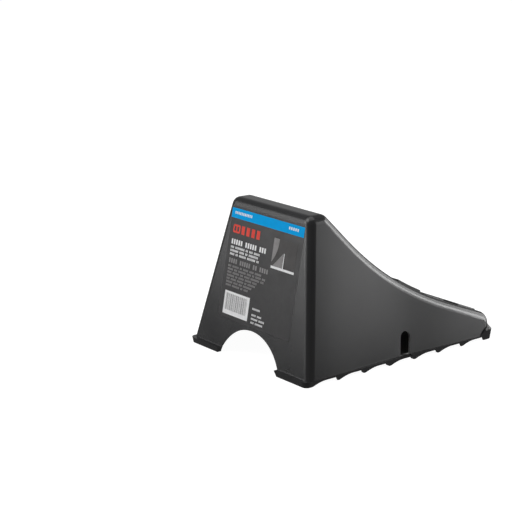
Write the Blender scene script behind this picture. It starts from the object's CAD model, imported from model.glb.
from math import cos, pi, radians, sin

import bpy
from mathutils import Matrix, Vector


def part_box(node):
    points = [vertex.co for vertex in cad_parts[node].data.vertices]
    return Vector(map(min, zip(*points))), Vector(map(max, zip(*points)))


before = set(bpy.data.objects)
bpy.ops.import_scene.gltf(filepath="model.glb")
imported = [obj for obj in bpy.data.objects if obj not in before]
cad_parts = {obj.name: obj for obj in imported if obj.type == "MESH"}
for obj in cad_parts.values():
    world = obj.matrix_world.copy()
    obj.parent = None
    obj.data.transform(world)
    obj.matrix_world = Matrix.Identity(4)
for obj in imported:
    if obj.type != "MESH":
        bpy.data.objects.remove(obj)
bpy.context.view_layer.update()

# A black moulded wheel chock with a printed label, in a white studio. Metres throughout; the chock's toe
# points along +X and its label faces -X.

# Colours, as linear red, green and blue
BLACK_PLASTIC = (0.017, 0.017, 0.018)
WORN_PLASTIC = (0.024, 0.024, 0.025)
DARK_FILM = (0.022, 0.021, 0.022)
FILM_SHEEN = (0.030, 0.029, 0.030)
BLUE_INK = (0.001, 0.38, 0.84)
BLUE_INK_DEEP = (0.001, 0.34, 0.76)
RED_INK = (0.80, 0.085, 0.060)
RED_INK_DEEP = (0.68, 0.060, 0.045)
WHITE_INK = (0.90, 0.90, 0.90)
WHITE_INK_THIN = (0.78, 0.78, 0.79)
GREY_INK = (0.30, 0.29, 0.29)
GREY_INK_THIN = (0.22, 0.215, 0.215)
BROWN_INK = (0.036, 0.032, 0.031)
BROWN_INK_DEEP = (0.026, 0.023, 0.023)

# Roughness of the plastic's smoothest and roughest places. Both stay below 0.27: when the range reached
# past it, patches of the wall were rendered with a faint outline.
PLASTIC_SMOOTH = 0.215
PLASTIC_ROUGH = 0.265

# Floor and surround
FLOOR_SIZE = 40
FLOOR_GLOW = 0.97
FLOOR_PAINT = 0.22
SURROUND_RADIUS = 18
SURROUND_GLOW = 1.0

# Inside the chock the floor's glow fades: along X past the arch, and in from the toe and from each side
FADE_PAST_ARCH = (-0.055, 0.005)
FADE_FROM_TOE = (0.012, 0.035)
FADE_FROM_SIDE = (0.014, 0.030)

# Lights: upright ones stand on a ring round the chock
RING_RADIUS = 2.0
UPRIGHT_HEIGHT = 1.2
UPRIGHT_MIDDLE = 0.55
AIM_POINT = Vector((0, 0, 0.1))
WORLD_GLOW = 0.19

# Camera at the photograph's viewing angle: its place, and its turn about X, Y and Z in degrees
CAMERA_PLACE = (-1.30833, -1.40746, 0.62403)
CAMERA_TURN = (75.3133, -0.6794, -39.0136)
CAMERA_LENS = 99.73
CAMERA_SENSOR = 36
CAMERA_REACH = 100

# Sockets of Blender's colour mix node, which have no names of their own
MIX_FIRST = 6
MIX_SECOND = 7
MIX_RESULT = 2


# ---------------------------------------------------------------- node helpers


class Nodes:
    """Builds one node material, so that each material below reads as a list of its layers."""

    def __init__(self, name):
        self.material = bpy.data.materials.new(name)
        self.material.use_nodes = True
        self.tree = self.material.node_tree
        self.shader = self.tree.nodes["Principled BSDF"]
        self.place = self.add("ShaderNodeTexCoord").outputs["Object"]

    def add(self, kind, **values):
        node = self.tree.nodes.new(kind)
        for name, value in values.items():
            setattr(node, name, value)
        return node

    def link(self, source, target):
        self.tree.links.new(source, target)

    def stretched(self, scale):
        mapping = self.add("ShaderNodeMapping")
        mapping.inputs["Scale"].default_value = scale
        self.link(self.place, mapping.inputs["Vector"])
        return mapping.outputs["Vector"]

    def noise(self, scale, detail, place=None):
        """Soft random patches, about scale of them to the metre."""
        node = self.add("ShaderNodeTexNoise")
        node.inputs["Scale"].default_value = scale
        node.inputs["Detail"].default_value = detail
        self.link(place or self.place, node.inputs["Vector"])
        return node.outputs["Fac"]

    def cells(self, scale):
        """Rounded pebbles, about scale of them to the metre."""
        node = self.add("ShaderNodeTexVoronoi")
        node.inputs["Scale"].default_value = scale
        self.link(self.place, node.inputs["Vector"])
        return node.outputs["Distance"]

    def spread(self, value, low, high, new_low=0.0, new_high=1.0):
        """The range low to high stretched over new_low to new_high, and held at its ends."""
        node = self.add("ShaderNodeMapRange")
        node.inputs["From Min"].default_value = low
        node.inputs["From Max"].default_value = high
        node.inputs["To Min"].default_value = new_low
        node.inputs["To Max"].default_value = new_high
        self.link(value, node.inputs["Value"])
        return node.outputs["Result"]

    def blend(self, amount, first, second):
        """From the first colour to the second. Each is a tuple or another node's output."""
        node = self.add("ShaderNodeMix", data_type="RGBA")
        self.link(amount, node.inputs["Factor"])
        for socket, colour in ((node.inputs[MIX_FIRST], first), (node.inputs[MIX_SECOND], second)):
            if isinstance(colour, tuple):
                socket.default_value = (*colour, 1.0)
            else:
                self.link(colour, socket)
        return node.outputs[MIX_RESULT]

    def sum(self, first, second, share):
        """first plus share of second."""
        node = self.add("ShaderNodeMath", operation="MULTIPLY_ADD")
        node.inputs[1].default_value = share
        self.link(second, node.inputs[0])
        self.link(first, node.inputs[2])
        return node.outputs[0]

    def bump(self, height, strength, depth):
        node = self.add("ShaderNodeBump")
        node.inputs["Strength"].default_value = strength
        node.inputs["Distance"].default_value = depth
        self.link(height, node.inputs["Height"])
        return node.outputs["Normal"]

    def finish(self, colour, roughness, normal, specular):
        self.link(colour, self.shader.inputs["Base Color"])
        self.link(roughness, self.shader.inputs["Roughness"])
        self.link(normal, self.shader.inputs["Normal"])
        self.shader.inputs["Specular IOR Level"].default_value = specular
        return self.material


# ---------------------------------------------------------------- materials


def moulded_plastic():
    """Black moulded plastic: fine pebble grain, pale flecks, faint flow streaks and dull rubbed patches."""
    n = Nodes("moulded_plastic")
    rubbed = n.spread(n.noise(14, detail=2), 0.15, 0.85)
    streaks = n.noise(1.0, detail=1, place=n.stretched((8, 8, 70)))
    flecks = n.spread(n.noise(900, detail=2), 0.62, 0.80, 0.0, 0.25)
    colour = n.blend(rubbed, BLACK_PLASTIC, WORN_PLASTIC)
    colour = n.blend(flecks, colour, WORN_PLASTIC)
    dullness = n.sum(n.noise(30, detail=1), streaks, share=0.5)
    roughness = n.spread(dullness, 0.4, 1.1, PLASTIC_SMOOTH, PLASTIC_ROUGH)
    pebbles = n.sum(n.cells(1400), n.noise(2600, detail=2), share=0.6)
    grain = n.bump(pebbles, strength=0.05, depth=0.00012)
    return n.finish(colour, roughness, grain, specular=0.5)


def printed(name, colour, thin_colour, roughness, gloss=0.12):
    """Ink on label film: a slightly uneven lay of ink over the film's own faint orange peel."""
    n = Nodes(name)
    lay = n.spread(n.noise(160, detail=3), 0.20, 0.80)
    speckle = n.spread(n.noise(2200, detail=1), 0.56, 0.70, 0.0, 0.5)
    mixed = n.blend(speckle, n.blend(lay, colour, thin_colour), thin_colour)
    dull = n.spread(n.noise(70, detail=3), 0.35, 0.65, roughness - 0.05, roughness + 0.06)
    peel = n.bump(n.noise(420, detail=2), strength=0.12, depth=0.0001)
    return n.finish(mixed, dull, peel, specular=gloss)


LOOKS = {
    "chock_shell": moulded_plastic(),
    "label_film": printed("dark_film", DARK_FILM, FILM_SHEEN, 0.36, gloss=0.36),
    "label_ink_blue": printed("blue_ink", BLUE_INK, BLUE_INK_DEEP, 0.45, gloss=0.04),
    "label_ink_brown": printed("brown_ink", BROWN_INK, BROWN_INK_DEEP, 0.42, gloss=0.4),
    "label_ink_grey": printed("grey_ink", GREY_INK, GREY_INK_THIN, 0.48),
    "label_ink_red": printed("red_ink", RED_INK, RED_INK_DEEP, 0.45),
    "label_ink_white": printed("white_ink", WHITE_INK, WHITE_INK_THIN, 0.5),
}
for node_name, material in LOOKS.items():
    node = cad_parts[node_name]
    node.data.materials.clear()
    node.data.materials.append(material)


# ---------------------------------------------------------------- studio


def studio_white(name, glow, paint):
    """A white surface that mostly lights itself, so that shadows on it stay faint."""
    material = bpy.data.materials.new(name)
    material.use_nodes = True
    shader = material.node_tree.nodes["Principled BSDF"]
    shader.inputs["Base Color"].default_value = (paint, paint, paint, 1)
    shader.inputs["Roughness"].default_value = 0.9
    shader.inputs["Specular IOR Level"].default_value = 0.0
    shader.inputs["Emission Color"].default_value = (1, 1, 1, 1)
    shader.inputs["Emission Strength"].default_value = glow
    return material


def shade_floor_inside(material, glow):
    """The floor's own light fades inside the chock's hollow, away from the arch, as daylight there does."""
    tree = material.node_tree
    place = tree.nodes.new("ShaderNodeTexCoord")
    split = tree.nodes.new("ShaderNodeSeparateXYZ")
    tree.links.new(place.outputs["Object"], split.inputs[0])
    low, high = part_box("chock_shell")
    fades = (
        ("X", *FADE_PAST_ARCH),
        ("X", *(high.x - inset for inset in FADE_FROM_TOE)),
        ("Y", *(low.y + inset for inset in FADE_FROM_SIDE)),
        ("Y", *(high.y - inset for inset in FADE_FROM_SIDE)),
    )
    shade = None
    for axis, start, end in fades:
        fade = tree.nodes.new("ShaderNodeMapRange")
        fade.interpolation_type = "SMOOTHSTEP"
        fade.inputs["From Min"].default_value = start
        fade.inputs["From Max"].default_value = end
        tree.links.new(split.outputs[axis], fade.inputs["Value"])
        if shade is None:
            shade = fade.outputs["Result"]
        else:
            both = tree.nodes.new("ShaderNodeMath")
            both.operation = "MULTIPLY"
            tree.links.new(shade, both.inputs[0])
            tree.links.new(fade.outputs["Result"], both.inputs[1])
            shade = both.outputs[0]
    dim = tree.nodes.new("ShaderNodeMapRange")
    dim.inputs["To Min"].default_value = glow
    dim.inputs["To Max"].default_value = 0.0
    tree.links.new(shade, dim.inputs["Value"])
    tree.links.new(dim.outputs["Result"], tree.nodes["Principled BSDF"].inputs["Emission Strength"])


def hide_from_light(piece):
    """Seen by the camera only: it neither lights the chock nor shows in its gloss."""
    piece.visible_diffuse = False
    piece.visible_glossy = False
    piece.visible_transmission = False
    piece.visible_shadow = False


bpy.ops.mesh.primitive_plane_add(size=FLOOR_SIZE, location=(0, 0, 0))
floor = bpy.context.object
floor.name = "floor"
floor.data.materials.append(studio_white("floor_white", FLOOR_GLOW, FLOOR_PAINT))
shade_floor_inside(floor.data.materials[0], FLOOR_GLOW)
bpy.ops.mesh.primitive_uv_sphere_add(segments=48, ring_count=24, radius=SURROUND_RADIUS)
surround = bpy.context.object
surround.name = "surround"
surround.data.materials.append(studio_white("surround_white", SURROUND_GLOW, paint=0.0))
for piece in (floor, surround):
    hide_from_light(piece)


def softbox(name, place, width, height, glow):
    """A soft light of width by height, aimed at the chock, whose face has the given brightness."""
    data = bpy.data.lights.new(name, "AREA")
    data.shape = "RECTANGLE"
    data.size = width
    data.size_y = height
    data.energy = glow * pi * width * height
    light = bpy.data.objects.new(name, data)
    bpy.context.scene.collection.objects.link(light)
    light.location = place
    aim = AIM_POINT - light.location
    light.rotation_euler = aim.to_track_quat("-Z", "Y").to_euler()
    light.visible_camera = False


def upright_light(name, bearing, width, glow):
    """A tall softbox on a ring round the chock, at a bearing in degrees from the toe's direction."""
    place = (RING_RADIUS * cos(radians(bearing)), RING_RADIUS * sin(radians(bearing)), UPRIGHT_MIDDLE)
    softbox(name, place, width, UPRIGHT_HEIGHT, glow)


# The label and the side wall each have a bright light whose reflection fades across them, and dimmer ones
# beside it. Nothing stands behind the camera, so the corner between them stays dark.
upright_light("label_fill", 132, 0.28, 2.03)
upright_light("label_key", 145, 0.28, 7.73)
upright_light("label_edge", 162, 0.56, 1.5)
upright_light("side_fill", -46, 0.56, 1.68)
upright_light("side_key", -30, 0.50, 8.6)
upright_light("ramp_edge", -8, 1.2, 2.4)
softbox("label_wash", (-1.21, 0.44, 1.63), 1.2, 1.2, 3.3)
softbox("top_box", (0.1, 0.0, 1.9), 1.6, 1.6, 1.3)
softbox("back_box", (1.4, 2.1, 0.9), 1.6, 1.6, 0.2)

world = bpy.data.worlds.new("studio")
world.use_nodes = True
world.node_tree.nodes["Background"].inputs["Color"].default_value = (1, 1, 1, 1)
world.node_tree.nodes["Background"].inputs["Strength"].default_value = WORLD_GLOW
bpy.context.scene.world = world
bpy.context.scene.view_settings.view_transform = "Standard"

camera_data = bpy.data.cameras.new("camera")
camera_data.sensor_width = CAMERA_SENSOR
camera_data.lens = CAMERA_LENS
camera_data.clip_end = CAMERA_REACH
camera = bpy.data.objects.new("camera", camera_data)
camera.location = CAMERA_PLACE
camera.rotation_euler = [radians(turn) for turn in CAMERA_TURN]
bpy.context.scene.collection.objects.link(camera)
bpy.context.scene.camera = camera
